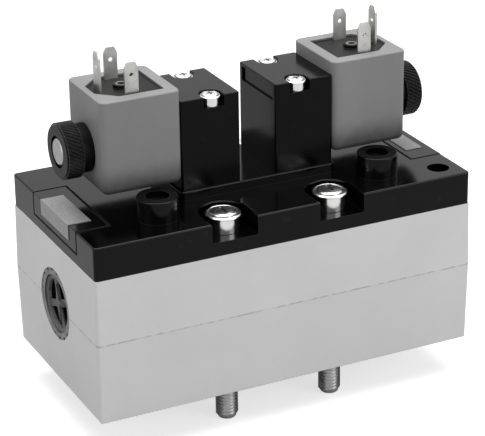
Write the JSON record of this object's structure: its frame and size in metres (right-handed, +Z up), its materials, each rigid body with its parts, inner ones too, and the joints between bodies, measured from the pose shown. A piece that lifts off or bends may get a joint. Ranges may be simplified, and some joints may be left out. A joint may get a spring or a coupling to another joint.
{
  "type": "directional control valve",
  "caption": "Double solenoid, pilot operated directional control valve: cast body with spool, moulded pilot cover with overrides, upright coils with bare plug contacts, captive screws.",
  "frame": {"origin": "centre of the body's base face, in the middle of the four mounting screws", "axes": "+X along the spool axis towards the right end cap, -Y towards the front long face that carries the override buttons, +Z up towards the coils"},
  "size_m": [0.1452, 0.0766, 0.1326],
  "materials": {
    "body_aluminium": "die-cast, matt",
    "black_moulding": "fine grained",
    "label_card": "matt",
    "cap_metal": "die-cast, matt",
    "spring_steel": "plain",
    "seal_rubber": "smooth",
    "spool_aluminium": "ground",
    "cage_plastic": "moulded",
    "screw_steel": "zinc plated",
    "coil_moulding": "fine grained",
    "terminal_plastic": "glossy",
    "copper_wire": "enamelled",
    "contact_metal": "tin plated",
    "core_steel": "turned",
    "nut_plastic": "knurled"
  },
  "bodies": {
    "valve": {"valve_body": "body_aluminium", "base_gasket": "seal_rubber", "cover_gasket": "seal_rubber", "pilot_cover": "black_moulding", "spool_cages": "cage_plastic", "spool_seals": "seal_rubber", "screw_retainers": "cage_plastic", "end_cap_left": "cap_metal", "end_cap_right": "cap_metal", "end_cap_seal_left": "seal_rubber", "end_cap_seal_right": "seal_rubber", "end_cap_ring_left": "spring_steel", "end_cap_ring_right": "spring_steel", "label_holder_left": "black_moulding", "label_holder_right": "black_moulding", "label_left": "label_card", "label_right": "label_card", "override_spring_left": "spring_steel", "override_spring_right": "spring_steel", "pilot_block_left": "black_moulding", "pilot_block_right": "black_moulding", "pilot_gasket_left": "seal_rubber", "pilot_gasket_right": "seal_rubber", "pilot_screws_left": "screw_steel", "pilot_screws_right": "screw_steel", "core_tube_left": "core_steel", "core_tube_right": "core_steel", "fixed_core_left": "core_steel", "fixed_core_right": "core_steel", "armature_spring_left": "spring_steel", "armature_spring_right": "spring_steel", "coil_left": "coil_moulding", "coil_right": "coil_moulding", "coil_winding_left": "copper_wire", "coil_winding_right": "copper_wire", "terminal_block_left": "terminal_plastic", "terminal_block_right": "terminal_plastic", "thread_insert_left": "contact_metal", "thread_insert_right": "contact_metal", "power_blades_left": "contact_metal", "power_blades_right": "contact_metal", "earth_blade_left": "contact_metal", "earth_blade_right": "contact_metal", "coil_ring_left": "black_moulding", "coil_ring_right": "black_moulding", "coil_nut_left": "nut_plastic", "coil_nut_right": "nut_plastic"},
    "spool_group": {"spool": "spool_aluminium", "piston_left": "cage_plastic", "piston_right": "cage_plastic", "piston_seal_left": "seal_rubber", "piston_seal_right": "seal_rubber"},
    "armature_left": {"armature_left": "core_steel"},
    "armature_right": {"armature_right": "core_steel"},
    "button_left": {"override_button_left": "black_moulding"},
    "button_right": {"override_button_right": "black_moulding"},
    "screw_front_left": {"mounting_screw_front_left": "screw_steel"},
    "screw_front_right": {"mounting_screw_front_right": "screw_steel"},
    "screw_back_left": {"mounting_screw_back_left": "screw_steel"},
    "screw_back_right": {"mounting_screw_back_right": "screw_steel"}
  },
  "joints": [
    {"name": "spool_slide", "type": "slide", "parent": "valve", "child": "spool_group", "axis": [1, 0, 0], "range_m": [0, 0.007]},
    {"name": "armature_slide_left", "type": "slide", "parent": "valve", "child": "armature_left", "axis": [-1, 0, 0], "range_m": [0, 0.001], "stiffness_N_per_m": 300, "springref_m": -0.004, "deforming": ["armature_spring_left"]},
    {"name": "armature_slide_right", "type": "slide", "parent": "valve", "child": "armature_right", "axis": [1, 0, 0], "range_m": [0, 0.001], "stiffness_N_per_m": 300, "springref_m": -0.004, "deforming": ["armature_spring_right"]},
    {"name": "override_press_left", "type": "slide", "parent": "valve", "child": "button_left", "axis": [0, 0, -1], "range_m": [0, 0.002], "stiffness_N_per_m": 800, "springref_m": -0.003, "deforming": ["override_spring_left"]},
    {"name": "override_press_right", "type": "slide", "parent": "valve", "child": "button_right", "axis": [0, 0, -1], "range_m": [0, 0.002], "stiffness_N_per_m": 800, "springref_m": -0.003, "deforming": ["override_spring_right"]},
    {"name": "screw_lift_front_left", "type": "slide", "parent": "valve", "child": "screw_front_left", "axis": [0, 0, 1], "range_m": [0, 0.0137]},
    {"name": "screw_lift_front_right", "type": "slide", "parent": "valve", "child": "screw_front_right", "axis": [0, 0, 1], "range_m": [0, 0.0137]},
    {"name": "screw_lift_back_left", "type": "slide", "parent": "valve", "child": "screw_back_left", "axis": [0, 0, 1], "range_m": [0, 0.0137]},
    {"name": "screw_lift_back_right", "type": "slide", "parent": "valve", "child": "screw_back_right", "axis": [0, 0, 1], "range_m": [0, 0.0137]}
  ]
}
